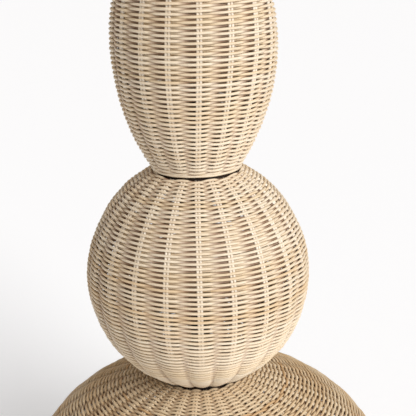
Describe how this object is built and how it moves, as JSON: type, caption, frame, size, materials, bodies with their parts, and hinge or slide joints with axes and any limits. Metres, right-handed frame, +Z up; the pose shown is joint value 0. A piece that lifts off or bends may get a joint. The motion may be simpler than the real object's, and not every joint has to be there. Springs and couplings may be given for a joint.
{
  "type": "garden torch",
  "caption": "Free-standing garden torch: stacked woven rattan baskets on a weighted base, with an oil canister, wick and hinged snuffer on top.",
  "frame": {"origin": "on the ground under the pole, at the centre of the base", "axes": "+Z up along the pole, +X towards the snuffer's hinge, -Y towards the viewer"},
  "size_m": [0.492, 0.492, 0.9713],
  "materials": {
    "rattan": "natural peeled reed, satin",
    "plywood": "raw birch",
    "black_steel": "satin black powder coat",
    "zinc_steel": "zinc plated",
    "brass": "satin",
    "rubber": "matt black",
    "glass_fibre": "woven glass fibre",
    "dark_wood": "oiled"
  },
  "bodies": {
    "stand": {"foot_1": "rubber", "foot_2": "rubber", "foot_3": "rubber", "foot_4": "rubber", "base_plate": "black_steel", "pole_flange": "black_steel", "flange_screw_1": "zinc_steel", "flange_screw_2": "zinc_steel", "flange_screw_3": "zinc_steel", "flange_screw_4": "zinc_steel", "pole_lower": "black_steel", "pole_upper": "black_steel", "pole_coupler": "zinc_steel", "grub_screw_lower": "zinc_steel", "grub_screw_upper": "zinc_steel", "clamp_stud": "zinc_steel", "base_basket": "rattan", "base_foot_hoop": "rattan", "base_neck_hoop": "rattan", "base_neck_disc": "plywood", "lower_neck_washer": "rubber", "ball_basket": "rattan", "ball_foot_hoop": "rattan", "ball_foot_disc": "plywood", "ball_neck_hoop": "rattan", "ball_neck_disc": "plywood", "upper_neck_washer": "rubber", "egg_basket": "rattan", "egg_foot_hoop": "rattan", "egg_foot_disc": "plywood", "egg_rim_hoop": "rattan", "canister_cup": "black_steel", "clamp_washer": "zinc_steel", "clamp_nut": "zinc_steel", "rest_ring": "rubber"},
    "canister": {"oil_canister": "black_steel"},
    "gasket": {"cap_gasket": "rubber"},
    "cap": {"burner_cap": "brass", "wick_tube": "brass", "snuffer_bracket": "brass", "snuffer_pin": "zinc_steel"},
    "wick": {"wick": "glass_fibre"},
    "snuffer": {"snuffer_bell": "brass", "snuffer_arm": "brass", "knob_screw": "zinc_steel", "snuffer_knob": "dark_wood"}
  },
  "joints": [
    {"name": "canister_lift", "type": "slide", "parent": "stand", "child": "canister", "axis": [0, 0, 1], "range_m": [0, 0.1]},
    {"name": "gasket_rise", "type": "slide", "parent": "canister", "child": "gasket", "axis": [0, 0, 1], "range_m": [0, 0.009]},
    {"name": "cap_turn", "type": "hinge", "parent": "gasket", "child": "cap", "pos_m": [0, 0, 0.91], "axis": [0, 0, 1], "range_deg": [0, 1080]},
    {"name": "wick_slide", "type": "slide", "parent": "cap", "child": "wick", "axis": [0, 0, 1], "range_m": [0, 0.012]},
    {"name": "snuffer_hinge", "type": "hinge", "parent": "cap", "child": "snuffer", "pos_m": [0.028, 0, 0.9247], "axis": [0, 1, 0], "range_deg": [0, 115]}
  ],
  "couplings": [
    {"joint": "gasket_rise", "follows": "cap_turn", "m_per_rad": 0.000477}
  ]
}
